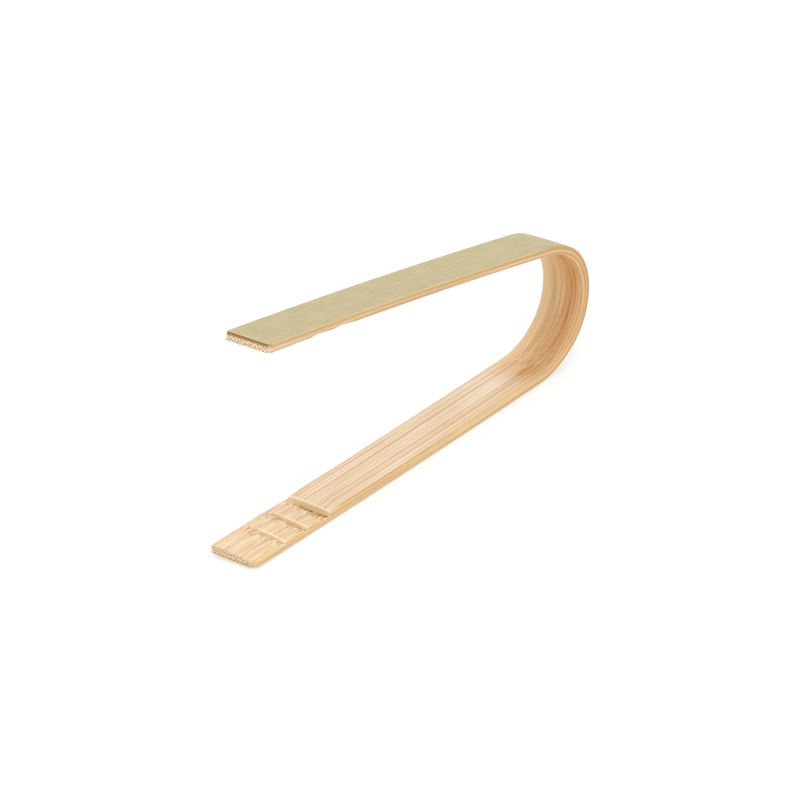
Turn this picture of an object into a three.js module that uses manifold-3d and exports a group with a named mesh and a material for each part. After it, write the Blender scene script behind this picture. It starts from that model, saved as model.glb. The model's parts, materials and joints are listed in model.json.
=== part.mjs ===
// Print tongs: one strip of bamboo, steam-bent into a U, with sawn teeth on the inner face of both tips.
//
// The strip lies on the outer face of its lower arm. X runs along the lower arm from the tips to the bow,
// Y is the width of the strip and Z is up. Every length is in millimetres.
//
// A bent strip has no pins. It works as a leaf spring that bends most in its bow and a little in the roots of
// both arms, so it is divided at three flexure lines: one in the root of each arm and one in the middle of the
// bow. The two links between them and the upper arm each turn a few degrees about the middle of their gap.
// Every body has its wood and its share of the hard outer skin of the culm as separate solids.

import * as THREE from 'three';
import Module from 'manifold-3d';
import { mergeVertices } from 'three/addons/utils/BufferGeometryUtils.js';

// The strip's middle line, from the lower tip round to the upper tip, as arcs that meet at a tangent.
const LOWER_ARM = { length: 135.5, radius: 5000 };
const BOW_ARCS = [
  { length: 16.5, radius: 28.8 },
  { length: 35.5, radius: 18.2 },
  { length: 12.0, radius: 29.0 },
];
const UPPER_ARM = { length: 132.5, radius: 3333 };

// Cross-section. The bow is planed thinner than the lower arm so that it can be bent.
const WIDTH = 15;
const LOWER_THICKNESS = 3.5;
const BOW_THICKNESS = 3.0;
const UPPER_THICKNESS = 2.6;
const TAPER = 0.2;              // share of the bow over which the thickness changes, at each end
const SKIN_THICKNESS = 0.4;

// Flexure lines: three, evenly spaced about the middle of the bow.
const HINGE_SPACING = 42.5;
const HINGE_GAP = 0.4;

// Teeth. All six are cut in the same direction along the strip, so their walls face the tip on the lower arm
// and the bow on the upper arm. Each is given by the foot and the ridge of its wall: the distance from the tip,
// and how far below the arm's inner face it lies (negative is above it).
const JAW_LENGTH = 40;
const LOWER_TEETH = {
  stand: 0,                     // how far the jaw's blank stands above the arm's inner face
  rampStart: 39,
  rampDrop: -0.5,
  walls: [
    { foot: [33.5, 1.22], ridge: [34.4, 0.32] },
    { foot: [23.5, 1.05], ridge: [24.2, 0.71] },
    { foot: [13.5, 0.95], ridge: [14.2, 0.70] },
  ],
  tipDrop: 0.8,
  tilt: 4.2,                    // degrees by which the lower teeth are planed down towards -Y
};
const UPPER_TEETH = {
  stand: 0.3,
  rampStart: 38,
  rampDrop: 0,
  walls: [
    { foot: [31.3, 0.35], ridge: [28.7, -0.04] },
    { foot: [21.4, 0.32], ridge: [18.6, -0.12] },
    { foot: [12.0, 0.00], ridge: [9.0, -0.20] },
  ],
  tipDrop: -0.1,
  tilt: 0,
};
const TOOTH_CUTTER = 8;         // height of the solid that is cut away above the teeth
const TIP_CORNER = 1.2;         // chamfer on the two corners of each tip, seen from above

// The lower arm rests on a flat stretch of its outer face.
const REST_LENGTH = 60;

const FACET = 1.4;              // longest straight facet of the bow

const WOOD = { color: 0xdfbf93, roughness: 0.62, metalness: 0 };
const SKIN = { color: 0xcabf95, roughness: 0.5, metalness: 0 };

const wasm = await Module();
wasm.setup();

const bowLength = BOW_ARCS.reduce((sum, arc) => sum + arc.length, 0);
const bowStart = LOWER_ARM.length;
const bowEnd = bowStart + bowLength;
const stripLength = bowEnd + UPPER_ARM.length;

// Point and direction of the middle line at the distance s from the lower tip. The lower arm is level at its
// own middle, so that it rests there.
function middleLine(s) {
  let angle = -0.5 * LOWER_ARM.length / LOWER_ARM.radius;
  let x = 0;
  let z = 0;
  let left = s;
  for (const arc of [LOWER_ARM, ...BOW_ARCS, UPPER_ARM]) {
    const run = arc === UPPER_ARM ? left : Math.min(left, arc.length);
    const turned = angle + run / arc.radius;
    x += arc.radius * (Math.sin(turned) - Math.sin(angle));
    z += arc.radius * (Math.cos(angle) - Math.cos(turned));
    angle = turned;
    left -= run;
    if (left <= 0) break;
  }
  return { x, z, angle };
}

function thickness(s) {
  const u = (s - bowStart) / bowLength;
  if (u <= 0) return LOWER_THICKNESS;
  if (u >= 1) return UPPER_THICKNESS;
  if (u < TAPER) return THREE.MathUtils.lerp(LOWER_THICKNESS, BOW_THICKNESS, u / TAPER);
  if (u > 1 - TAPER) return THREE.MathUtils.lerp(UPPER_THICKNESS, BOW_THICKNESS, (1 - u) / TAPER);
  return BOW_THICKNESS;
}

// A point of the strip's side view: s along the middle line, out towards the skin (negative is inwards).
function place(s, out) {
  const { x, z, angle } = middleLine(s);
  return new THREE.Vector2(x + out * Math.sin(angle), z - out * Math.cos(angle));
}

const outerFace = (s) => place(s, thickness(s) / 2);
const underSkin = (s) => place(s, thickness(s) / 2 - SKIN_THICKNESS);
const innerFace = (s) => place(s, -thickness(s) / 2);

// Stations between two distances, no further apart than step.
function stations(from, to, step) {
  const count = Math.max(1, Math.ceil((to - from) / step));
  return Array.from({ length: count + 1 }, (_, i) => THREE.MathUtils.lerp(from, to, i / count));
}

// Closed prism across the width of the strip from a side view in X and Z.
function prism(points, width = WIDTH) {
  const geometry = new THREE.ExtrudeGeometry(new THREE.Shape(points), { depth: width, bevelEnabled: false });
  geometry.rotateX(Math.PI / 2);
  geometry.translate(0, width / 2, 0);
  return geometry;
}

function toManifold(geometry) {
  const bare = geometry.clone();
  bare.deleteAttribute('normal');
  bare.deleteAttribute('uv');
  const merged = mergeVertices(bare, 1e-5);
  return new wasm.Manifold(new wasm.Mesh({
    numProp: 3,
    vertProperties: new Float32Array(merged.attributes.position.array),
    triVerts: new Uint32Array(merged.index.array),
  }));
}

function fromManifold(solid) {
  const mesh = solid.getMesh();
  const geometry = new THREE.BufferGeometry();
  geometry.setAttribute('position', new THREE.BufferAttribute(mesh.vertProperties, 3));
  geometry.setIndex(new THREE.BufferAttribute(mesh.triVerts, 1));
  return geometry;
}

// Plan view that clips the two corners of a tip. The tip is at tipX and the arm runs on towards +X.
function clipTip(geometry, tipX) {
  const half = WIDTH / 2;
  const far = tipX + stripLength;
  const plan = new THREE.Shape([
    new THREE.Vector2(tipX, -half + TIP_CORNER),
    new THREE.Vector2(tipX + TIP_CORNER, -half),
    new THREE.Vector2(tipX + TIP_CORNER, -half - 1),
    new THREE.Vector2(far, -half - 1),
    new THREE.Vector2(far, half + 1),
    new THREE.Vector2(tipX + TIP_CORNER, half + 1),
    new THREE.Vector2(tipX + TIP_CORNER, half),
    new THREE.Vector2(tipX, half - TIP_CORNER),
  ]);
  const column = new THREE.ExtrudeGeometry(plan, { depth: 4 * stripLength, bevelEnabled: false });
  column.translate(0, 0, -2 * stripLength);
  return fromManifold(toManifold(geometry).intersect(toManifold(column)));
}

const group = new THREE.Group();

function addPiece(name, geometry, look) {
  const mesh = new THREE.Mesh(geometry, new THREE.MeshStandardMaterial(look));
  mesh.name = name;
  group.add(mesh);
  return mesh;
}

// Wood of a toothed tip. distanceToS turns a distance from this tip into a distance along the strip, bottom is
// the underside of the wood as points from the tip to the arm, and inwards is +1 where the inner face is on top.
function toothedJaw(teeth, distanceToS, bottom, inwards) {
  const at = ([distance, drop]) => {
    const s = distanceToS(distance);
    return place(s, drop - thickness(s) / 2);
  };
  const blank = prism([...bottom, at([JAW_LENGTH, -teeth.stand]), at([0, -teeth.stand])]);
  const profile = [at([JAW_LENGTH + 1, teeth.rampDrop]), at([teeth.rampStart, teeth.rampDrop])];
  const ends = (wall) => [wall.foot, wall.ridge].sort((a, b) => b[0] - a[0]);
  for (const wall of teeth.walls) profile.push(...ends(wall).map(at));
  profile.push(at([0, teeth.tipDrop]), at([-1, teeth.tipDrop]));
  const depth = new THREE.Vector2(0, inwards * TOOTH_CUTTER);
  profile.push(at([-1, 0]).add(depth), at([JAW_LENGTH + 1, 0]).add(depth));
  const cutter = prism(profile, 2 * WIDTH);
  const height = at([JAW_LENGTH / 2, 0]).y;
  cutter.translate(0, 0, -height);
  cutter.rotateX(THREE.MathUtils.degToRad(teeth.tilt));
  cutter.translate(0, 0, height);
  return fromManifold(toManifold(blank).subtract(toManifold(cutter)));
}

const reverse = (points) => [...points].reverse();
const hingeAt = [-1, 0, 1].map((i) => (bowStart + bowEnd) / 2 + i * HINGE_SPACING);
const halfGap = HINGE_GAP / 2;

// Lower arm: a flat stretch to rest on, with the gently curved ends either side of it.
const restStart = (LOWER_ARM.length - REST_LENGTH) / 2;
const lowerEnd = hingeAt[0] - halfGap;
const lowerStations = [0, restStart, restStart + REST_LENGTH, lowerEnd];
const lowerJawStations = [0, restStart, JAW_LENGTH];
const lowerArmStations = [JAW_LENGTH, restStart + REST_LENGTH, lowerEnd];

// The underside of the wood follows the same straight facets as the skin, so the two lie face to face.
const along = (line, start, end, s) => line(start).clone().lerp(line(end), (s - start) / (end - start));
const lowerUnderSkin = (s) => (s > restStart && s < restStart + REST_LENGTH
  ? along(underSkin, restStart, restStart + REST_LENGTH, s)
  : underSkin(s));
const lowerTip = middleLine(0).x;
const lowerBlank = lowerJawStations.map(lowerUnderSkin);
addPiece('lower_jaw', clipTip(toothedJaw(LOWER_TEETH, (distance) => distance, lowerBlank, 1), lowerTip), WOOD);
addPiece('lower_arm', prism([
  ...lowerArmStations.map(lowerUnderSkin),
  ...reverse(lowerArmStations.map(innerFace)),
]), WOOD);
addPiece('lower_skin', clipTip(prism([
  ...lowerStations.map(outerFace),
  ...reverse(lowerStations.map(underSkin)),
]), lowerTip), SKIN);

// Bow: the links between the flexure lines. Each runs through the end of an arm, where the curve starts.
const bends = [bowStart, bowEnd];
for (let i = 0; i < hingeAt.length - 1; i += 1) {
  const ends = [hingeAt[i] + halfGap, hingeAt[i + 1] - halfGap];
  const curved = [Math.max(ends[0], bends[0]), Math.min(ends[1], bends[1])];
  const cut = [...new Set([ends[0], ...stations(...curved, FACET), ends[1]])];
  addPiece(`bow_link_${i + 1}`, prism([...cut.map(underSkin), ...reverse(cut.map(innerFace))]), WOOD);
  addPiece(`bow_skin_${i + 1}`, prism([...cut.map(outerFace), ...reverse(cut.map(underSkin))]), SKIN);
}

// Upper arm, from the last flexure line to the upper tip.
const upperStart = hingeAt.at(-1) + halfGap;
const upperJawStart = stripLength - JAW_LENGTH;
const upperMiddle = (upperStart + upperJawStart) / 2;
const upperTip = Math.min(outerFace(stripLength).x, innerFace(stripLength).x);
addPiece('upper_arm', prism([
  ...[upperStart, upperMiddle, upperJawStart].map(underSkin),
  ...reverse([upperStart, upperMiddle, upperJawStart].map(innerFace)),
]), WOOD);
const upperBlank = [stripLength, upperJawStart].map(underSkin);
const fromUpperTip = (distance) => stripLength - distance;
addPiece('upper_jaw', clipTip(toothedJaw(UPPER_TEETH, fromUpperTip, upperBlank, -1), upperTip), WOOD);
addPiece('upper_skin', clipTip(prism([
  ...[upperStart, upperMiddle, upperJawStart, stripLength].map(outerFace),
  ...reverse([upperStart, upperMiddle, upperJawStart, stripLength].map(underSkin)),
]), upperTip), SKIN);

// The origin is the middle of the footprint, on the face that the tongs rest on.
const box = new THREE.Box3().setFromObject(group);
const shift = new THREE.Vector3(-(box.min.x + box.max.x) / 2, 0, -box.min.z);
group.position.copy(shift);
group.updateMatrixWorld(true);

// Flexure lines in the part's own frame: each runs along Y through this point.
group.userData.hinges = hingeAt.map((s) => {
  const { x, z } = middleLine(s);
  return [x + shift.x, 0, z + shift.z];
});

export default group;
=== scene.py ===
"""Print tongs: one strip of bamboo, steam-bent into a U, with teeth cut into both tips.

The strip is lofted along its middle line as the CAD part is. Three pieces of wood and three of skin meet
at seams half-way between the flexure lines, and each of them spans one flexure line. The two toothed
tips are pieces of their own.

Lengths of the object are in millimetres until place() turns them into metres. The floor and the lights are
in metres. Along the strip, distances are measured on its middle line from the lower tip.
"""

import json
import math

import bpy
import numpy as np
from mathutils import Matrix, Vector


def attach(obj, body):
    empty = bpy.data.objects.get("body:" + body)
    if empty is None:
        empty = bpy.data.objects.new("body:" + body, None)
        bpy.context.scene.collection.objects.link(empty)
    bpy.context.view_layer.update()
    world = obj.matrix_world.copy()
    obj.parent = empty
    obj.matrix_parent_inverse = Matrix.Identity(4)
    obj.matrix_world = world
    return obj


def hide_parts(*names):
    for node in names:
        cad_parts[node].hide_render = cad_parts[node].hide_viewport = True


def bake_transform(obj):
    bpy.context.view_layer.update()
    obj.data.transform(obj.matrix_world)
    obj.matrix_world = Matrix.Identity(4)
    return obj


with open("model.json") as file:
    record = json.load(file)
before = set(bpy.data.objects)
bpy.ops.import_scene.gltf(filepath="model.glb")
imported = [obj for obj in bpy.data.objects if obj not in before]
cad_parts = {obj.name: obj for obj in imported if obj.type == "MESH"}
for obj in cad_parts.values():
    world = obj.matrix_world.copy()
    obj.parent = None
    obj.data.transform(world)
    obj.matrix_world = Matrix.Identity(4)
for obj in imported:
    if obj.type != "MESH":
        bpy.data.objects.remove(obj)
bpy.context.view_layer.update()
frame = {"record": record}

MM = 0.001

# The strip's middle line, from the lower tip round to the upper tip: (length, radius) of each arc.
LOWER_ARM = (135.5, 5000.0)
BOW_ARCS = ((16.5, 28.8), (35.5, 18.2), (12.0, 29.0))
UPPER_ARM = (132.5, 3333.0)
ARCS = (LOWER_ARM, *BOW_ARCS, UPPER_ARM)
BOW_START = LOWER_ARM[0]
BOW_END = BOW_START + sum(length for length, _ in BOW_ARCS)
STRIP_LENGTH = BOW_END + UPPER_ARM[0]

# Cross-section.
HALF_WIDTH = 7.5
ACROSS_STRIP = (-HALF_WIDTH, HALF_WIDTH)
LOWER_THICKNESS = 3.5
BOW_THICKNESS = 3.0
UPPER_THICKNESS = 2.6
TAPER = 0.2                     # share of the bow, at either end, in which the thickness changes
SKIN_THICKNESS = 0.4
CROWN = 0.12                    # how far the round outer face falls off towards its edges
SKIN_EASE = 0.25                # radius of the skin's edges
SKIN_END_EASE = 0.15            # radius of its ends at both tips
INNER_EASE = 0.3                # radius of the inner face's far edge, and of its near edge, upper arm
NEAR_EASE = 0.6                 # radius of its near edge, lower arm and bow, where it is worn rounder
NEAR_EASE_CHANGE = 20.0         # length of strip over which the one turns into the other

# Both edges run a little unevenly: (radians per millimetre, phase) of each wave.
EDGE_WAVES = ((0.22, 0.0), (0.46, 1.7), (0.82, 4.1), (1.66, 2.6))
EDGE_SHIFT = 5.3                # phase between one edge and the other
NEAR_WAVE = 0.04                # how far the near edge strays
FAR_WAVE = 0.07

# Tips.
LOWER_NEAR_CORNER = 1.7         # how far the near corner is clipped off
UPPER_NEAR_CORNER = 0.8
FAR_CORNER = 0.35               # radius of the far corners
TIP_FALL_REACH = 3.0            # length of strip that is rounded off below the lower tip
# At the near and the far edge: how far it is rounded off there, how far the upper tip's end leans out per
# millimetre of depth, and how much further out the lower tip's end is cut.
TIP_FALL = (0.1, 0.7)
UPPER_LEAN = (0.12, 0.25)
LOWER_SKEW = (0.0, 0.45)
SKEW_REACH = 2.0                # length of strip over which lean and skew build up

# Flexure lines and the seams between the pieces.
HINGES = (125.0, 167.5, 210.0)
SEAMS = (146.25, 188.75)
JAW_LENGTH = 40.0
UPPER_JAW_START = STRIP_LENGTH - JAW_LENGTH
BEND_INSET = 1.6                # how far inside a piece's end the bend range handed to finish_piece() starts

# Density of the meshes.
STATION_STEP = 1.5
JAW_STEP = 0.4
SEAM_STEP = 0.03                # between the close pair of stations at a seam
JAW_TIP_STATIONS = (SEAM_STEP, 0.1, 0.25, 0.5, 0.8, 1.2, 1.6)
SKIN_TIP_STATIONS = (0.0, 0.05, 0.15, 0.3, 0.6, 0.9, 1.2, 1.6, 2.4, 3.2)
RIM_SHARES = (0.0, 0.08, 0.3, 0.6)      # where the columns of a rounded edge stand
JAW_COLUMNS = 44
ARM_COLUMNS = 12
SHARP_ANGLE = 32                # degrees between two faces from which their edge stays sharp

# Inner face of the toothed tips: (distance from the tip, height above the middle line at the far edge, in
# the middle and at the near edge). A foot is followed by its ridge.
LOWER_TEETH = (
    (0.0, 1.50, 1.09, -0.25),
    (5.0, 1.55, 1.25, -0.05),
    (11.8, 1.58, 1.20, 0.25),
    (13.7, 1.54, 0.75, 0.10),
    (14.4, 1.59, 1.32, 0.50),
    (21.5, 1.58, 1.20, 0.35),
    (23.5, 1.48, 0.45, 0.12),
    (24.3, 1.50, 1.30, 0.51),
    (30.8, 1.32, 1.10, 0.40),
    (33.3, 1.05, -0.20, 0.00),
    (34.4, 1.46, 1.56, 1.10),
    (37.0, 1.62, 1.66, 1.45),
    (40.0, 1.75, 1.75, 1.75),
)
UPPER_TEETH = (
    (0.0, 1.38, 1.45, 1.38),
    (1.0, 1.50, 1.52, 1.50),
    (9.0, 1.50, 1.50, 1.50),
    (12.0, 1.43, 1.10, 1.43),
    (18.5, 1.44, 1.44, 1.44),
    (20.6, 1.02, 0.80, 1.02),
    (22.0, 1.00, 0.85, 1.00),
    (28.7, 1.34, 1.34, 1.34),
    (31.3, 0.95, 0.75, 0.95),
    (34.1, 1.01, 0.90, 1.01),
    (38.0, 1.25, 1.25, 1.25),
    (40.0, 1.30, 1.30, 1.30),
)

# At each tooth: torn fibres the cutter left before its wall, painted shade there and in its foot, a
# painted highlight on its ridge.
WALL_SLOPE = 0.5                # a tooth's wall rises at least this steeply from its foot to its ridge
WALL_RISE = 1.4                 # a wall this high has the most torn fibres and painted shade
TEAR_AND_SHADE_START = 4.0                # how far in front of the foot the torn fibres and their painted shade start
TEAR_AND_SHADE_RISE = (1.1, 0.72)         # how far in front of it they have reached which share of their strength
TEAR_AND_SHADE_ON_WALL = 0.3              # share of the wall that they cover
TEAR_AND_SHADE_FADE = ((4.5, 7.0), (1.0, 0.2))    # places across the strip, and how much of them is left there
RIDGE_MIDDLE = 0.1              # how far behind the ridge's own line the painted highlight stands
RIDGE_WIDTH = 0.3
RIDGE_FADE = (1.0, 6.0)         # places across the strip between which it fades
RIDGE_LEAST = 0.1               # share of it that is left where a low tooth runs out

# Which way the faces look, as it is stored on them.
END_ZONE = 1.6                  # faces this near a tip can be its cut end
WALL_SHARE = 0.6                # all others count this much, so that no tooth's wall is taken for an end

# Bundles of fibre, in staggered rows.
BUNDLE_PITCH = 1.1
BUNDLE_ROW = 0.6
BUNDLE_SCATTER = 0.45           # how irregularly they stand, from 0 to 1
BUNDLE_DRIFT = 0.6              # how far they wander across the strip
DARK_BUNDLES = ((6.8, 0.3), (2.5, 0.8), (-2.7, 0.85), (-4.5, 0.7))   # (place across the strip, strength)
DARK_BUNDLE_EDGE = (0.34, 0.1)  # distances from its middle where a dark bundle ends and where it is full

# Textures: (grain in millimetres along, across and below the skin, detail, roughness).
WOOD_GRAINS = {
    "drift": (120, 4, 4, 1.0, 0.5),
    "fibre": (45, 0.2, 0.2, 3.0, 0.6),
    "line": (110, 0.42, 0.42, 1.0, 0.5),
    "layer": (260, 30, 0.4, 1.0, 0.5),
    "cloud": (30, 5, 5, 2.0, 0.5),
    "blotch": (14, 1.1, 1.1, 3.0, 0.65),
    "nick": (9, 0.4, 3, 2.0, 0.6),
    "tear": (4, 0.4, 3, 2.0, 0.6),
    "hole": (1.2, 0.45, 3, 1.0, 0.5),
}
SKIN_GRAINS = {
    "mottle": (7, 2.2, 2, 3.0, 0.6),
    "scratch": (14, 0.14, 1, 2.0, 0.6),
    "speck": (0.9, 0.5, 1, 2.0, 0.6),
}

# Ramps: as the named field runs from the first number to the second, the ramp runs smoothly from 0 to 1,
# or from the third number to the fourth. "along" is the distance from the lower tip, "across" the place
# between the near edge, -7.5, and the far edge, 7.5, and "deep" the depth below the skin's outer face.
# "facing" is 1 on a face that looks along the fibres, "sideways" is 1 on one that looks across the strip,
# and "tooth" is what tooth_mark() says. The other fields are textures, or are made in the material itself.
WOOD_RAMPS = {
    # Which way a face looks.
    "cut_end": ("facing", 0.78, 0.92),
    "wall_from": ("facing", 0.22, 0.42),
    "wall_to": ("facing", 0.66, 0.6),
    "off_wall": ("facing", 0.3, 0.1),
    "side": ("sideways", 0.5, 0.9),
    "off_side": ("sideways", 0.5, 0.2),
    "eased_from": ("sideways", 0.12, 0.4),
    "eased_to": ("sideways", 0.97, 0.8),
    # Ground of the long faces.
    "arm_to_bow": ("along", 110, 160),
    "under_skin": ("deep", 1.35, 0.95),
    "clouded": ("cloud", 0.35, 0.75),
    # Painted shade: the strip is darker towards the lower jaw.
    "painted_shade_near_jaw": ("along", JAW_LENGTH + 25, JAW_LENGTH - 15),
    "far_edge": ("across", 5.6, 6.6),
    "curve_from": ("along", 105, 150),
    "curve_to": ("along", BOW_END + 30, BOW_END - 30),
    "warm_from": ("along", 40, 70),
    "warm_to": ("along", 285, 255),
    "bottom": ("deep", 2.25, 2.5),
    "past_bow": ("along", BOW_END, BOW_END + 30),
    "near_edge": ("across", -6.7, -7.3),
    "below_skin": ("deep", 0.5, 1.9),
    "before_upper_arm": ("along", BOW_END - 12, BOW_START + 20),
    # Browned inner face of the bow.
    "scorch_from": ("along", BOW_START - 14, BOW_START + 2),
    "scorch_to": ("along", BOW_END + 6, BOW_END - 8),
    "scorch_depth": ("worn_depth", BOW_THICKNESS - 1.2, BOW_THICKNESS - 0.2),
    "scorch_strength": ("along", 160, 175, 0.85, 0.97),
    "worn_from": ("along", 145, 160),
    "worn_to": ("along", 190, 178),
    "less_at_far_edge": ("across", 7.6, -2.0, 0.1, 1.0),
    "blotched": ("blotch", 0.3, 0.65, 0.5, 1.0),
    "band_far": ("across", 1.4, -1.4),
    "band_near": ("across", -7.0, -4.2, 0.2, 1.0),
    "hot_in_band": ("band", 0.0, 1.0, 0.3, 1.0),
    "spotted": ("blotch", 0.56, 0.66),
    "scorch_far_rim": ("across", 5.4, 6.3),
    "glinting": ("fibre", 0.47, 0.36),
    # Streaks.
    "bundle": ("from_bundle", 0.40, 0.20),
    "core": ("from_bundle", 0.24, 0.10),
    "chosen": ("chance", 0.35, 0.8, 0.0, 0.7),
    "lined": ("line", 0.57, 0.63, 0.0, 0.65),
    "patchy": ("cloud", 0.3, 0.6, 0.35, 0.9),
    "jaw": ("along", 36, 33),
    "less_on_jaw": ("jaw", 0.0, 1.0, 1.0, 0.45),
    "fine": ("fibre", 0.48, 0.66),
    "finer_in_bow": ("scorch", 0.0, 1.0, 0.42, 0.7),
    "layered": ("layer", 0.48, 0.54),
    "layered_in_bow": ("along", BOW_START, BOW_START + 25, 0.35, 0.8),
    "layered_past_bow": ("along", BOW_END, BOW_END + 30, 1.0, 0.6),
    "pale_edge_from": ("along", BOW_END - 45, BOW_END - 25),
    "ragged": ("fibre", 0.40, 0.60, 0.1, 0.7),
    # Planed faces of the lower jaw.
    "nicked": ("nick", 0.54, 0.62),
    "chipped": ("nick", 0.44, 0.36),
    "gold_edge": ("across", -5.0, -6.4),
    "gold_clouds": ("cloud", 0.44, 0.54),
    # Cut ends.
    "near_skin": ("deep", 1.5, 0.6),
    "upper_tip": ("along", 0, STRIP_LENGTH),
    "rind_at_tips": ("along", 0, STRIP_LENGTH, 0.2, 1.0),
    # Torn walls, with painted shade in front of them and in their feet, and a painted highlight on their
    # ridges.
    "before_wall": ("tooth", 0.0, 0.3),
    "torn_dark_and_shade": ("tear", 0.5, 0.58),
    "torn_light": ("tear", 0.46, 0.38),
    "in_foot": ("tooth", 0.45, 0.95),
    "holed": ("hole", 0.4, 0.5),
    "on_ridge": ("tooth", -0.1, -0.8),
    "ridge_highlight": ("tear", 0.35, 0.55, 0.45, 0.85),
    # Gloss.
    "roughness": ("fibre", 0.3, 0.7, 0.52, 0.68),
}
SKIN_RAMPS = {
    "side": ("sideways", 0.35, 0.8),
    "cut_end": ("facing", 0.3, 0.8),
    "mottled": ("mottle", 0.38, 0.62),
    "scratched": ("scratch", 0.4, 0.7),
    "specked": ("speck", 0.53, 0.66),
    "rim_into_bow": ("along", 100, 150),
    "rim_past_bow": ("along", BOW_END - 4, BOW_END + 12),
    "arm_to_bow": ("along", 110, 160),
    "upper_tip": ("along", 0, STRIP_LENGTH),
    "inside": ("rim_depth", 0.2, 0.38),
    "roughness": ("mottle", 0.3, 0.7, 0.42, 0.52),
}
SKIN_RIM_CUT = 0.08             # how much thinner the skin's rim is on a cut end than on a side

# Plain colours, as screen values from 0 to 255.
COLOURS = {
    "pale": (243, 226, 203),
    "dense_arm": (242, 213, 168),
    "dense_bow": (220, 180, 120),
    "steamed": (240, 212, 170),
    "streak": (208, 160, 98),
    "hot_streak": (186, 118, 46),
    "lower_end": (234, 206, 168),
    "upper_end": (240, 214, 182),
    "lower_dot": (152, 104, 60),
    "upper_dot": (150, 102, 64),
    "khaki": (180, 168, 124),
    # the skin's rim along the lower arm, darkened with painted shade where it lies on the floor
    "lower_rim_and_floor_shade": (214, 176, 122),
    "bow_rim": (200, 152, 88),
    # the skin's rim along the upper arm and at its tip, paler with a painted highlight on its top edge
    "upper_rim_and_highlight": (224, 206, 156),
    "skin_arm": (228, 192, 140),
    "skin_bow": (218, 178, 118),
    "lower_rind": (206, 172, 120),
    "upper_rind": (148, 110, 52),
}

# Paints, laid over what is there already: (red, green, blue, strength).
PAINTS = {
    "tan_clouds": (224, 190, 142, 0.3),
    # painted shade towards the lower jaw
    "jaw": (220, 195, 156, 0.4),
    "far_edge": (222, 190, 146, 0.35),
    "bow_side": (226, 182, 118, 0.75),
    "warm_side": (206, 164, 96, 0.22),
    "bottom_line": (214, 176, 124, 0.7),
    "golden_edge": (245, 214, 158, 0.7),
    "brown": (211, 156, 88, 0.8),
    "band": (198, 140, 66, 0.5),
    "spots": (180, 112, 50, 0.7),
    # paler far rim of the browned bow: partly its own colour, partly painted light where it lies in shade
    "far_rim_painted_light": (244, 216, 172, 0.5),
    "glint": (240, 208, 160, 0.65),
    "layers": (208, 158, 92, 1.0),
    "wall": (226, 188, 134, 0.7),
    # paler along the rounded edges, ragged with the fibres
    "pale_edge": (246, 222, 182, 1.0),
    "nicks": (212, 168, 112, 0.6),
    "chips": (248, 232, 206, 0.6),
    "gold": (236, 202, 144, 0.5),
    "rind": (152, 116, 56, 1.0),
    # darker torn fibres and dark holes in a tooth's foot, both carrying painted shade
    "torn_dark_and_shade": (190, 142, 84, 0.9),
    "torn_light": (252, 238, 212, 0.8),
    "foot_holes_and_shade": (136, 96, 50, 1.0),
    # painted highlight along a tooth's ridge
    "ridge": (252, 236, 210, 1.0),
    "mottle": (192, 178, 139, 1.0),
    "scratches": (174, 160, 113, 0.5),
    "specks": (204, 187, 146, 0.5),
}
DOT_STRENGTH = 0.8              # of the dots on the cut ends, whose colour changes along the strip

# Relief and gloss: (strength, height in metres) of the bump.
WOOD_BUMP = (0.4, 0.00012)
SKIN_BUMP = (0.15, 0.00006)
BUNDLE_RELIEF = -0.5            # bundles lie this deep, next to fibres of height 1
WOOD_SPECULAR = 0.3
SKIN_SPECULAR = 0.35

# Camera: the point in the middle of the picture, and where the camera stands from it, in degrees and
# millimetres. Only its two clip distances are in metres.
CAMERA_TARGET = (-9.122, -4.218, 21.441)
CAMERA_AZIMUTH = -52.6805
CAMERA_ELEVATION = 27.6258
CAMERA_ROLL = -1.0
CAMERA_DISTANCE = 1273.875
CAMERA_LENS = 202.5
SENSOR = 36.0
CLIP_START = 0.05
CLIP_END = 20

# Studio: a floor that is partly lit from within, two soft lights (place, diameter, power) and the sky.
FLOOR_HALF = 3.0
FLOOR_DROP = 0.0001             # keeps the floor clear of the faces that lie on it
FLOOR_GREY = 0.4
FLOOR_GLOW = 0.6                # light from within
FLOOR_ROUGHNESS = 0.9
LIGHTS = {
    "key": ((-0.6, -0.3, 2.0), 1.6, 14),
    "fill": ((0.9, 0.5, 1.6), 1.6, 8),
}
SKY_STRENGTH = 0.77


def middle_line(s):
    """Point (x, z) and direction of the middle line at the distance s from the lower tip.

    The lower arm sags evenly, so it starts by sloping down by half of the angle that it turns by. The
    upper arm runs on past its tip, as the tip's end is not cut square.
    """
    angle = -0.5 * LOWER_ARM[0] / LOWER_ARM[1]
    x = z = 0.0
    left = s
    for length, radius in ARCS:
        run = left if (length, radius) == UPPER_ARM else min(left, length)
        turned = angle + run / radius
        x += radius * (math.sin(turned) - math.sin(angle))
        z += radius * (math.cos(angle) - math.cos(turned))
        angle = turned
        left -= run
        if left <= 0:
            break
    return x, z, angle


def thickness(s):
    """Thickness of the strip. It changes at both ends of the bow only."""
    u = (s - BOW_START) / (BOW_END - BOW_START)
    points = (0, TAPER, 1 - TAPER, 1)
    values = (LOWER_THICKNESS, BOW_THICKNESS, BOW_THICKNESS, UPPER_THICKNESS)
    return float(np.interp(u, points, values))


# The first flexure line ties the strip's own frame to the part's.
flex = frame["record"]["behaviour"]["joints"][0]["pos_m"]
SHIFT_X = flex[0] / MM - middle_line(HINGES[0])[0]
SHIFT_Z = flex[2] / MM - middle_line(HINGES[0])[1]


def place(s, y, out):
    """Point of the strip in metres, never below the floor: out is its distance outside the middle line."""
    x, z, angle = middle_line(s)
    height = max(z - out * math.cos(angle) + SHIFT_Z, 0.0)
    return (x + out * math.sin(angle) + SHIFT_X) * MM, y * MM, height * MM


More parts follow.
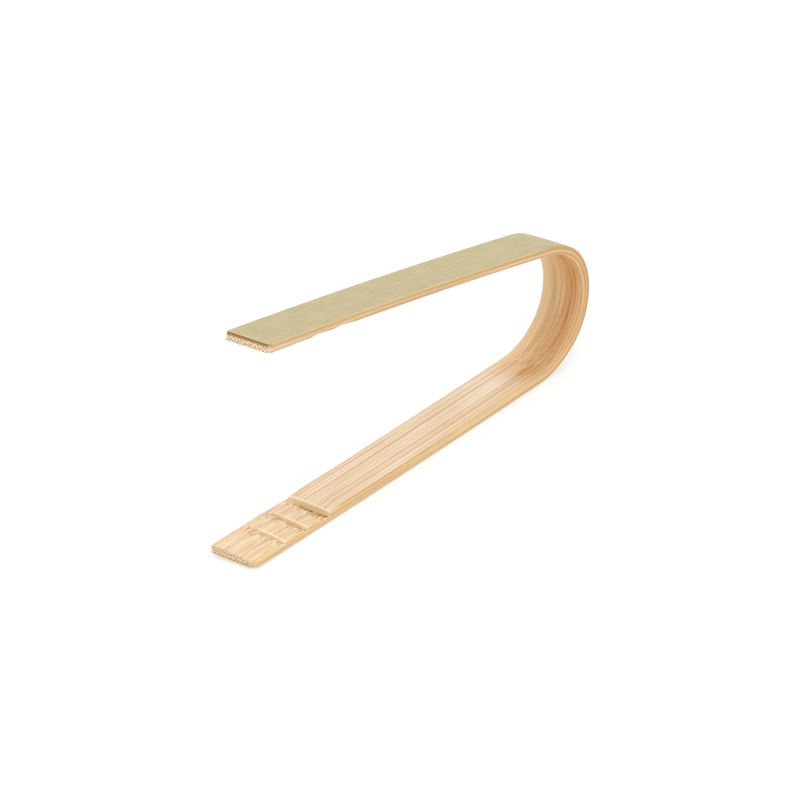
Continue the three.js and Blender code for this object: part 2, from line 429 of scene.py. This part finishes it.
def round_off(distance, radius):
    """How far a rounded edge has fallen at this distance from it."""
    if distance >= radius:
        return 0.0
    return radius - math.sqrt(max(radius**2 - (radius - distance) ** 2, 0.0))


def from_tip(s):
    """Distance from the nearer tip."""
    return min(s, STRIP_LENGTH - s)


def wave(s, edge):
    """Smooth irregular wave between -1 and 1, not the same for both edges."""
    total = sum(math.sin(s * rate + phase + EDGE_SHIFT * edge) for rate, phase in EDGE_WAVES)
    return total / len(EDGE_WAVES)


def edges(s):
    """Near and far edge of the strip at the distance s. The corners of both tips are cut back."""
    near_corner = LOWER_NEAR_CORNER if s < STRIP_LENGTH / 2 else UPPER_NEAR_CORNER
    near = -HALF_WIDTH + NEAR_WAVE * wave(s, 1)
    far = HALF_WIDTH + FAR_WAVE * wave(s, 2)
    near += max(near_corner - from_tip(s), 0.0)
    far -= round_off(from_tip(s), FAR_CORNER)
    return near, far


def outer_face(s, y):
    """Outer face of the skin, as a distance from the middle line."""
    fall = CROWN * (y / HALF_WIDTH) ** 2 - CROWN / 3
    tip_fall = np.interp(y, ACROSS_STRIP, TIP_FALL) * max(1.0 - s / TIP_FALL_REACH, 0.0) ** 2
    return thickness(s) / 2 - fall - tip_fall


def jaw_height(teeth, distance, y):
    """Height of a toothed face above the middle line, curved across through the three heights given."""
    at = [row[0] for row in teeth]
    far, middle, near = (np.interp(distance, at, [row[i] for row in teeth]) for i in (1, 2, 3))
    u = y / HALF_WIDTH
    return middle + u * (far - near) / 2 + u * u * ((far + near) / 2 - middle)


def inner_face(s, y):
    """Inner face of the wood, as a distance from the middle line (negative, as it lies inwards)."""
    if s < JAW_LENGTH:
        return -jaw_height(LOWER_TEETH, s, y)
    if s > UPPER_JAW_START:
        return -jaw_height(UPPER_TEETH, STRIP_LENGTH - s, y)
    return -thickness(s) / 2


def inner_edge(s, y):
    """Inner face with its two rounded edges."""
    near, far = edges(s)
    near_ease = float(np.interp(s, (BOW_END - NEAR_EASE_CHANGE, BOW_END), (NEAR_EASE, INNER_EASE)))
    return inner_face(s, y) + round_off(far - y, INNER_EASE) + round_off(y - near, near_ease)


def under_skin(s, y):
    """Face where the wood and the skin meet."""
    return outer_face(s, y) - SKIN_THICKNESS


def skin_edge(s, y):
    """Outer face of the skin with its rounded edges and ends."""
    near, far = edges(s)
    fall = round_off(min(y - near, far - y), SKIN_EASE) + round_off(from_tip(s), SKIN_END_EASE)
    return outer_face(s, y) - fall


def skew(s, y, deep):
    """How far a point near either end is moved along the strip, as neither tip is cut quite square."""
    at_upper = max(1.0 - (STRIP_LENGTH - s) / SKEW_REACH, 0.0)
    at_lower = max(1.0 - s / SKEW_REACH, 0.0)
    lean = deep * np.interp(y, ACROSS_STRIP, UPPER_LEAN)
    return float(at_upper * lean - at_lower * np.interp(y, ACROSS_STRIP, LOWER_SKEW))


def tooth_mark(s, y):
    """1 in the foot of a tooth's wall, -1 on its ridge and 0 away from both, least at the far edge."""
    mark = 0.0
    for teeth, distance in ((LOWER_TEETH, s), (UPPER_TEETH, STRIP_LENGTH - s)):
        if distance > JAW_LENGTH:
            continue
        for foot, ridge in zip(teeth, teeth[1:]):
            rise = ridge[2] - foot[2]
            run = ridge[0] - foot[0]
            if rise >= WALL_SLOPE * run:
                mark += wall_mark(distance, y, foot[0], run, min(rise / WALL_RISE, 1.0))
    return float(mark)


def wall_mark(distance, y, foot, run, height):
    """Mark of one tooth. Its wall starts at foot and is run long. Its height is a share of WALL_RISE."""
    places = (foot - TEAR_AND_SHADE_START, foot - TEAR_AND_SHADE_RISE[0], foot, foot + TEAR_AND_SHADE_ON_WALL * run)
    # Torn fibres in front of the wall, with painted shade there and in its foot.
    torn_and_shaded = np.interp(distance, places, (0, TEAR_AND_SHADE_RISE[1], 1, 0))
    torn_and_shaded *= math.sqrt(height) * np.interp(y, *TEAR_AND_SHADE_FADE)
    # Painted highlight along the ridge.
    from_ridge = (distance - foot - run - RIDGE_MIDDLE) / RIDGE_WIDTH
    least = max(2.0 * height - 1.0, RIDGE_LEAST)
    return torn_and_shaded - math.exp(-(from_ridge**2)) * np.interp(y, RIDGE_FADE, (1.0, least))


def stations(start, end):
    """Distances along the strip, with a close pair at each seam so that the shading runs on across it."""
    count = max(1, math.ceil((end - start) / STATION_STEP))
    even = [start + (end - start) * i / count for i in range(count + 1)]
    return [even[0], even[0] + SEAM_STEP, *even[1:-1], even[-1] - SEAM_STEP, even[-1]]


def tooth_stations(teeth, to_s):
    """Stations of a toothed tip, which hit every foot and ridge."""
    distances = [*JAW_TIP_STATIONS, JAW_LENGTH - SEAM_STEP, JAW_LENGTH]
    for (a, *_), (b, *_) in zip(teeth, teeth[1:]):
        count = max(1, math.ceil((b - a) / JAW_STEP))
        distances += [a + (b - a) * i / count for i in range(count)]
    return sorted({round(to_s(distance), 4) for distance in distances})


def columns(count, ease):
    """Shares of the width, from the near edge to the far edge, closer together at both edges."""
    rim = ease / (2 * HALF_WIDTH)
    inside = [rim + (1 - 2 * rim) * i / count for i in range(count + 1)]
    start = [rim * share for share in RIM_SHARES]
    return [*start, *inside, *(1 - u for u in reversed(start))]


def strip_points(along, across, inner, outer):
    """Points between an inner and an outer face, the same in the strip's own coordinates, and the point
    numbers of each station: along the inner face, the outer face, the near side and the far side."""
    points = []
    local = []

    def add(s, y, out):
        deep = thickness(s) / 2 - out
        points.append(place(s + skew(s, y, deep), y, out))
        local.append((s, y, deep))
        return len(points) - 1

    grid = []
    for s in along:
        near, far = edges(s)
        ys = [near + (far - near) * u for u in across]
        top = [add(s, y, inner(s, y)) for y in ys]
        low = [add(s, y, outer(s, y)) for y in ys]
        sides = []
        for end in (0, -1):
            y = ys[end]
            middle = add(s, y, (inner(s, y) + outer(s, y)) / 2)
            sides.append((top[end], middle, low[end]))
        grid.append((top, low, *sides))
    return points, local, grid


def strip_faces(grid):
    """Faces of the closed solid."""
    faces = []
    for (top_a, low_a, near_a, far_a), (top_b, low_b, near_b, far_b) in zip(grid, grid[1:]):
        for j in range(len(top_a) - 1):
            faces.append((top_a[j], top_b[j], top_b[j + 1], top_a[j + 1]))
            faces.append((low_a[j], low_a[j + 1], low_b[j + 1], low_b[j]))
        for j in range(len(near_a) - 1):
            faces.append((near_a[j], near_a[j + 1], near_b[j + 1], near_b[j]))
            faces.append((far_a[j], far_b[j], far_b[j + 1], far_a[j + 1]))
    for (top, low, near, far), turn in ((grid[0], 1), (grid[-1], -1)):
        for j in range(1, len(top) - 2):
            faces.append((top[j], top[j + 1], low[j + 1], low[j])[::turn])
        faces.append((top[1], low[1], *near[::-1])[::turn])
        faces.append((low[-2], top[-2], *far)[::turn])
    return faces


def strip_solid(name, along, across, inner, outer):
    """Closed solid between an inner and an outer face, with the strip's own coordinates stored on it."""
    points, local, grid = strip_points(along, across, inner, outer)
    mesh = bpy.data.meshes.new(name)
    mesh.from_pydata(points, [], strip_faces(grid))
    attribute = mesh.attributes.new("strip", "FLOAT_VECTOR", "POINT")
    attribute.data.foreach_set("vector", np.array(local, np.float32).ravel())
    attribute = mesh.attributes.new("tooth", "FLOAT", "POINT")
    attribute.data.foreach_set("value", [tooth_mark(s, y) for s, y, _ in local])
    mesh.update()
    mark_directions(mesh, local)
    mesh.shade_smooth()
    mesh.set_sharp_from_angle(angle=math.radians(SHARP_ANGLE))
    obj = bpy.data.objects.new(name, mesh)
    bpy.context.collection.objects.link(obj)
    return obj


def mark_directions(mesh, local):
    """Stores how far each face looks along the fibres (1 on a cut end) and how far it looks sideways."""
    cut = mesh.attributes.new("cut", "FLOAT", "FACE")
    side = mesh.attributes.new("side", "FLOAT", "FACE")
    for face in mesh.polygons:
        s = sum(local[v][0] for v in face.vertices) / len(face.vertices)
        angle = middle_line(s)[2]
        fibre = Vector((math.cos(angle), 0, math.sin(angle)))
        share = 1.0 if from_tip(s) < END_ZONE else WALL_SHARE
        cut.data[face.index].value = abs(face.normal.dot(fibre)) * share
        side.data[face.index].value = abs(face.normal.y)


def linear(value):
    """Linear share of light for a screen value from 0 to 255."""
    value /= 255
    return value / 12.92 if value <= 0.04045 else ((value + 0.055) / 1.055) ** 2.4


def rgb(red, green, blue):
    """Colour of a socket for screen values from 0 to 255."""
    return (linear(red), linear(green), linear(blue), 1.0)


class Graph:
    """Short names for building a material's nodes."""

    def __init__(self, name):
        self.material = bpy.data.materials.new(name)
        self.material.use_nodes = True
        self.tree = self.material.node_tree
        self.shader = self.tree.nodes["Principled BSDF"]

    def node(self, kind, inputs=None, **settings):
        made = self.tree.nodes.new(kind)
        for key, value in settings.items():
            setattr(made, key, value)
        for key, value in (inputs or {}).items():
            self.put(made.inputs[key], value)
        return made

    def put(self, socket, value):
        if isinstance(value, bpy.types.NodeSocket):
            self.tree.links.new(value, socket)
        else:
            socket.default_value = value

    def math(self, operation, a, b=0.0, clamp=False):
        made = self.node("ShaderNodeMath", {0: a, 1: b}, operation=operation, use_clamp=clamp)
        return made.outputs[0]

    def remap(self, value, low, high, to_low=0.0, to_high=1.0):
        """Smooth step from to_low to to_high as the value goes from low to high. low may be the larger."""
        inputs = {"Value": value, "From Min": low, "From Max": high, "To Min": to_low, "To Max": to_high}
        return self.node("ShaderNodeMapRange", inputs, interpolation_type="SMOOTHSTEP").outputs[0]

    def mix(self, factor, a, b):
        made = self.node("ShaderNodeMix", data_type="RGBA")
        self.put(made.inputs["Factor"], factor)
        self.put(made.inputs[6], a)
        self.put(made.inputs[7], b)
        return made.outputs[2]

    def attribute(self, name):
        return self.node("ShaderNodeAttribute", attribute_name=name)

    def vector(self, x, y, z):
        return self.node("ShaderNodeCombineXYZ", {0: x, 1: y, 2: z}).outputs[0]

    def finish(self, colour, roughness, specular, height, bump):
        """Puts colour, gloss and relief on the shader."""
        strength, distance = bump
        inputs = {"Height": height, "Strength": strength, "Distance": distance}
        bumped = self.node("ShaderNodeBump", inputs)
        self.put(self.shader.inputs["Base Color"], colour)
        self.put(self.shader.inputs["Roughness"], roughness)
        self.put(self.shader.inputs["Specular IOR Level"], specular)
        self.put(self.shader.inputs["Normal"], bumped.outputs[0])
        return self.material


class StripGraph(Graph):
    """A material in the strip's own coordinates. Its fields are named values, which its ramps use."""

    def __init__(self, name, grains, ramps):
        super().__init__(name)
        self.ramps = ramps
        stored = self.attribute("strip").outputs["Vector"]
        axes = self.node("ShaderNodeSeparateXYZ", {0: stored}).outputs
        self.fields = dict(zip(("along", "across", "deep"), axes))
        self.fields["facing"] = self.attribute("cut").outputs["Fac"]
        self.fields["sideways"] = self.attribute("side").outputs["Fac"]
        for grain, (*steps, detail, roughness) in grains.items():
            scaled = [self.math("DIVIDE", value, step) for value, step in zip(axes, steps)]
            vector = self.vector(*scaled)
            inputs = {"Vector": vector, "Scale": 1.0, "Detail": detail, "Roughness": roughness}
            self.fields[grain] = self.node("ShaderNodeTexNoise", inputs).outputs["Fac"]

    def ramp(self, name):
        """One of the material's ramps, of the field that it names."""
        field, *limits = self.ramps[name]
        return self.remap(self.fields[field], *limits)

    def product(self, *factors):
        """Product of factors, each of which is a ramp's name, another node's output or a number."""
        result = None
        for factor in factors:
            value = self.ramp(factor) if isinstance(factor, str) else factor
            result = value if result is None else self.math("MULTIPLY", result, value)
        return result

    def between(self, ramp, first, second):
        """Mixture of two plain colours."""
        return self.mix(self.ramp(ramp), rgb(*COLOURS[first]), rgb(*COLOURS[second]))

    def paint(self, ground, name, *factors):
        """Lays a paint over the ground, as strongly as the product of its strength and the factors."""
        *colour, strength = PAINTS[name]
        return self.mix(self.product(*factors, strength), ground, rgb(*colour))


class WoodGraph(StripGraph):
    """The wood's material, with a method for each thing that colours it."""

    def __init__(self):
        super().__init__("bamboo_wood", WOOD_GRAINS, WOOD_RAMPS)
        self.side = self.ramp("side")
        self.wall = self.product("wall_from", "wall_to")
        self.fields["tooth"] = self.product(self.attribute("tooth").outputs["Fac"], "off_side")
        self.fields["jaw"] = self.ramp("jaw")
        self.add_bundles()
        self.add_scorch()

    def add_bundles(self):
        """Bundles of fibre run along the strip in staggered rows."""
        drift = self.math("MULTIPLY", self.math("SUBTRACT", self.fields["drift"], 0.5), BUNDLE_DRIFT)
        self.drifting = self.math("ADD", self.fields["across"], drift)
        column = self.math("DIVIDE", self.drifting, BUNDLE_PITCH)
        row = self.math("DIVIDE", self.fields["deep"], 2 * BUNDLE_ROW)
        lattice = self.vector(self.math("ADD", column, row), self.math("SUBTRACT", column, row), 0.0)
        cells = self.node(
            "ShaderNodeTexVoronoi", {"Vector": lattice, "Scale": 1.0, "Randomness": BUNDLE_SCATTER},
            voronoi_dimensions="2D", feature="F1",
        )
        self.fields["from_bundle"] = cells.outputs["Distance"]
        self.fields["chance"] = cells.outputs["Color"]
        self.bundle = self.ramp("bundle")

    def add_scorch(self):
        """Steam and the hot former have browned the inner face of the bow, most in a band of it."""
        worn = self.product("worn_from", "worn_to")
        self.fields["worn_depth"] = self.math("ADD", self.fields["deep"], worn)
        self.scorch = self.product("scorch_from", "scorch_to", "scorch_depth")
        self.fields["scorch"] = self.scorch
        self.band = self.product("band_far", "band_near")
        self.fields["band"] = self.band
        self.hot = self.product(self.scorch, "hot_in_band")

    def long_faces(self):
        """Pale inside, dense and tan under the skin. The sides are golden, most of all in the bow."""
        dense = self.between("arm_to_bow", "dense_arm", "dense_bow")
        ground = self.mix(self.ramp("under_skin"), rgb(*COLOURS["pale"]), dense)
        ground = self.paint(ground, "tan_clouds", "clouded")
        # Painted shade: darker towards the lower jaw.
        ground = self.paint(ground, "jaw", "painted_shade_near_jaw")
        ground = self.paint(ground, "far_edge", "far_edge")
        ground = self.paint(ground, "bow_side", self.side, "curve_from", "curve_to")
        ground = self.paint(ground, "warm_side", self.side, "warm_from", "warm_to")
        ground = self.paint(ground, "bottom_line", self.side, "bottom", "past_bow")
        return self.paint(ground, "golden_edge", "near_edge", "below_skin", "before_upper_arm")

    def browned(self, ground):
        """The browned part of the bow, least brown along its far edge."""
        scorched = self.paint(rgb(*COLOURS["steamed"]), "brown", "less_at_far_edge", "blotched")
        scorched = self.paint(scorched, "band", self.band)
        ground = self.mix(self.product(self.scorch, "scorch_strength"), ground, scorched)
        return self.paint(ground, "spots", self.hot, "spotted")

    def streaked(self, ground):
        """Streaks along the fibres, darkest where the bow is browned most."""
        colour = self.mix(self.hot, rgb(*COLOURS["streak"]), rgb(*COLOURS["hot_streak"]))
        ground = self.mix(self.product("core", "chosen"), ground, colour)
        ground = self.mix(self.ramp("lined"), ground, colour)
        shown = self.math("SUBTRACT", self.product("patchy", "less_on_jaw"), self.side)
        for middle, strength in DARK_BUNDLES:
            away = self.math("ABSOLUTE", self.math("SUBTRACT", self.drifting, middle))
            line = self.remap(away, *DARK_BUNDLE_EDGE, 0.0, strength)
            ground = self.mix(self.math("MAXIMUM", self.product(line, shown), 0.0), ground, colour)
        return self.mix(self.product("fine", "finer_in_bow"), ground, colour)

    def finished_faces(self, ground):
        """Pale fibres in the bow, layers along the sides, plain walls, and paler rounded edges."""
        # Paler far rim of the browned bow, partly its own colour and partly painted light where that edge
        # lies in shade.
        ground = self.paint(ground, "far_rim_painted_light", self.scorch, "scorch_far_rim")
        ground = self.paint(ground, "glint", self.scorch, "glinting")
        layers = self.product(self.side, "layered_in_bow", "layered_past_bow", "layered")
        ground = self.paint(ground, "layers", layers)
        ground = self.paint(ground, "wall", self.wall)
        return self.paint(ground, "pale_edge", "eased_from", "eased_to", "pale_edge_from", "off_wall", "ragged")

    def planed_jaw(self, ground):
        """The planed faces of the lower jaw have short streaks, and are golden along their near edge."""
        off_side = self.math("SUBTRACT", 1.0, self.side)
        flat = self.product(self.fields["jaw"], self.math("SUBTRACT", off_side, self.wall, clamp=True))
        ground = self.paint(ground, "nicks", flat, "nicked")
        ground = self.paint(ground, "chips", flat, "chipped")
        return self.paint(ground, "gold", flat, "gold_edge", "gold_clouds")

    def cut_ends(self, colour):
        """Cut ends have a pale ground with brown dots, browner towards the skin."""
        ground = self.between("upper_tip", "lower_end", "upper_end")
        ground = self.paint(ground, "rind", "near_skin", "rind_at_tips")
        dots = self.between("upper_tip", "lower_dot", "upper_dot")
        end = self.mix(self.product(self.bundle, DOT_STRENGTH), ground, dots)
        return self.mix(self.ramp("cut_end"), colour, end)

    def torn_and_shaded_walls(self, colour):
        """Torn fibres before each wall, dark holes in its foot, both with painted shade, and a painted
        ridge highlight.
        """
        torn_and_shaded = self.product("before_wall", self.math("SUBTRACT", 1.0, self.wall))
        # Painted shade darkens the torn fibres in front of the wall.
        colour = self.paint(colour, "torn_dark_and_shade", torn_and_shaded, "torn_dark_and_shade")
        colour = self.paint(colour, "torn_light", torn_and_shaded, "torn_light")
        # Dark holes with painted shade in the foot.
        colour = self.paint(colour, "foot_holes_and_shade", "in_foot", "holed")
        # Painted highlight on the ridge.
        return self.paint(colour, "ridge", "on_ridge", "ridge_highlight")


def wood_material():
    """Bamboo wood, coloured by one thing after the other."""
    graph = WoodGraph()
    colour = graph.long_faces()
    colour = graph.browned(colour)
    colour = graph.streaked(colour)
    colour = graph.finished_faces(colour)
    colour = graph.planed_jaw(colour)
    colour = graph.cut_ends(colour)
    colour = graph.torn_and_shaded_walls(colour)
    height = graph.math("ADD", graph.product(graph.bundle, BUNDLE_RELIEF), graph.fields["fibre"])
    return graph.finish(colour, graph.ramp("roughness"), WOOD_SPECULAR, height, WOOD_BUMP)


def skin_material():
    """Khaki outside. Its rim shows along the sides, with painted shade on the lower arm and a painted
    highlight on the upper, and its dense inside where it is cut.
    """
    graph = StripGraph("bamboo_skin", SKIN_GRAINS, SKIN_RAMPS)
    khaki = graph.paint(rgb(*COLOURS["khaki"]), "mottle", "mottled")
    khaki = graph.paint(khaki, "scratches", "scratched")
    khaki = graph.paint(khaki, "specks", "specked")

    # The rim is darkened with painted shade along the lower arm, where it lies on the floor, and paler
    # with a painted highlight on the top edge along the upper arm.
    rim = graph.between("rim_into_bow", "lower_rim_and_floor_shade", "bow_rim")
    rim = graph.mix(graph.ramp("rim_past_bow"), rim, rgb(*COLOURS["upper_rim_and_highlight"]))
    cut = graph.ramp("cut_end")
    dense = graph.between("arm_to_bow", "skin_arm", "skin_bow")
    rind = graph.between("upper_tip", "lower_rind", "upper_rind")
    thinner = graph.math("MULTIPLY", cut, SKIN_RIM_CUT)
    graph.fields["rim_depth"] = graph.math("ADD", graph.fields["deep"], thinner)
    edge_colour = graph.mix(graph.ramp("inside"), rim, graph.mix(cut, dense, rind))
    edge = graph.math("MAXIMUM", graph.ramp("side"), cut)

    colour = graph.mix(edge, khaki, edge_colour)
    height = graph.fields["scratch"]
    return graph.finish(colour, graph.ramp("roughness"), SKIN_SPECULAR, height, SKIN_BUMP)


wood = wood_material()
skin = skin_material()


def finish_piece(obj, material, nodes, bodies, bend=None):
    """Gives a piece its material and hides its CAD parts; ties it to its body, or bakes it in place if it
    has a bend.
    """
    obj.data.materials.append(material)
    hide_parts(*nodes)
    if bend is None:
        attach(obj, bodies[0])
        return
    start, end = (Vector(place(s, 0, 0)) for s in bend)
    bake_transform(obj)


def make_jaw(name, teeth, to_s, body):
    """A toothed tip, which rides on its arm's body."""
    across = columns(JAW_COLUMNS, NEAR_EASE)
    jaw = strip_solid(name + "_wood", tooth_stations(teeth, to_s), across, inner_edge, under_skin)
    finish_piece(jaw, wood, [name], [body])


def make_wood(name, run, nodes, bodies, bend):
    """Wood of an arm or of the bow."""
    across = columns(ARM_COLUMNS, NEAR_EASE)
    piece = strip_solid(name + "_wood", stations(*run), across, inner_edge, under_skin)
    finish_piece(piece, wood, nodes, bodies, bend)


def make_skin(name, run, nodes, bodies, bend):
    """Skin of an arm or of the bow, with more stations at a tip, where it is rounded off."""
    along = set(stations(*run))
    if run[0] == 0.0:
        along.update(SKIN_TIP_STATIONS)
    if run[1] == STRIP_LENGTH:
        along.update(STRIP_LENGTH - distance for distance in SKIN_TIP_STATIONS)
    across = columns(ARM_COLUMNS, SKIN_EASE)
    piece = strip_solid(name + "_skin", sorted(along), across, under_skin, skin_edge)
    finish_piece(piece, skin, nodes, bodies, bend)


def make_lower_arm():
    bodies = ["lower_arm", "bow_lower"]
    bend = (2 * HINGES[0] - SEAMS[0] + BEND_INSET, SEAMS[0] - BEND_INSET)
    make_wood("lower_arm", (JAW_LENGTH, SEAMS[0]), ["lower_arm"], bodies, bend)
    make_skin("lower_arm", (0.0, SEAMS[0]), ["lower_skin"], bodies, bend)


def make_bow():
    bodies = ["bow_lower", "bow_upper"]
    bend = (SEAMS[0] + BEND_INSET, SEAMS[1] - BEND_INSET)
    make_wood("bow", SEAMS, ["bow_link_1", "bow_link_2"], bodies, bend)
    make_skin("bow", SEAMS, ["bow_skin_1", "bow_skin_2"], bodies, bend)


def make_upper_arm():
    bodies = ["bow_upper", "upper_arm"]
    bend = (SEAMS[1] + BEND_INSET, 2 * HINGES[2] - SEAMS[1] - BEND_INSET)
    make_wood("upper_arm", (SEAMS[1], UPPER_JAW_START), ["upper_arm"], bodies, bend)
    make_skin("upper_arm", (SEAMS[1], STRIP_LENGTH), ["upper_skin"], bodies, bend)


def make_camera():
    azimuth = math.radians(CAMERA_AZIMUTH)
    elevation = math.radians(CAMERA_ELEVATION)
    back = Vector((
        math.sin(azimuth) * math.cos(elevation),
        -math.cos(azimuth) * math.cos(elevation),
        math.sin(elevation),
    ))
    right = Vector((math.cos(azimuth), math.sin(azimuth), 0))
    up = back.cross(right)
    turn = Matrix((right, up, back)).transposed().to_4x4()
    data = bpy.data.cameras.new("camera")
    data.lens = CAMERA_LENS
    data.sensor_width = SENSOR
    data.clip_start = CLIP_START
    data.clip_end = CLIP_END
    camera = bpy.data.objects.new("camera", data)
    stand = Vector(CAMERA_TARGET) * MM + back * CAMERA_DISTANCE * MM
    roll = Matrix.Rotation(math.radians(CAMERA_ROLL), 4, "Z")
    camera.matrix_world = Matrix.Translation(stand) @ turn @ roll
    bpy.context.collection.objects.link(camera)
    bpy.context.scene.camera = camera


def make_floor():
    material = bpy.data.materials.new("floor")
    material.use_nodes = True
    shader = material.node_tree.nodes["Principled BSDF"]
    shader.inputs["Base Color"].default_value = (FLOOR_GREY, FLOOR_GREY, FLOOR_GREY, 1)
    shader.inputs["Emission Color"].default_value = (1, 1, 1, 1)
    shader.inputs["Emission Strength"].default_value = FLOOR_GLOW
    shader.inputs["Roughness"].default_value = FLOOR_ROUGHNESS
    corners = [(x * FLOOR_HALF, y * FLOOR_HALF, 0) for x, y in ((-1, -1), (1, -1), (1, 1), (-1, 1))]
    mesh = bpy.data.meshes.new("floor")
    mesh.from_pydata(corners, [], [(0, 1, 2, 3)])
    mesh.materials.append(material)
    floor = bpy.data.objects.new("floor", mesh)
    floor.location.z = -FLOOR_DROP
    bpy.context.collection.objects.link(floor)


def make_light(name, location, size, power):
    """A round soft light that looks at the object."""
    data = bpy.data.lights.new(name, "AREA")
    data.shape = "DISK"
    data.size = size
    data.energy = power
    light = bpy.data.objects.new(name, data)
    light.location = location
    light.rotation_mode = "QUATERNION"
    light.rotation_quaternion = (-Vector(location)).to_track_quat("-Z", "Y")
    bpy.context.collection.objects.link(light)


def make_sky():
    world = bpy.data.worlds.new("studio")
    world.use_nodes = True
    background = world.node_tree.nodes["Background"]
    background.inputs["Color"].default_value = (1, 1, 1, 1)
    background.inputs["Strength"].default_value = SKY_STRENGTH
    bpy.context.scene.world = world


make_jaw("lower_jaw", LOWER_TEETH, lambda distance: distance, "lower_arm")
make_jaw("upper_jaw", UPPER_TEETH, lambda distance: STRIP_LENGTH - distance, "upper_arm")
make_lower_arm()
make_bow()
make_upper_arm()

make_camera()
make_floor()
for light_name, settings in LIGHTS.items():
    make_light(light_name, *settings)
make_sky()
bpy.context.scene.view_settings.view_transform = "Standard"
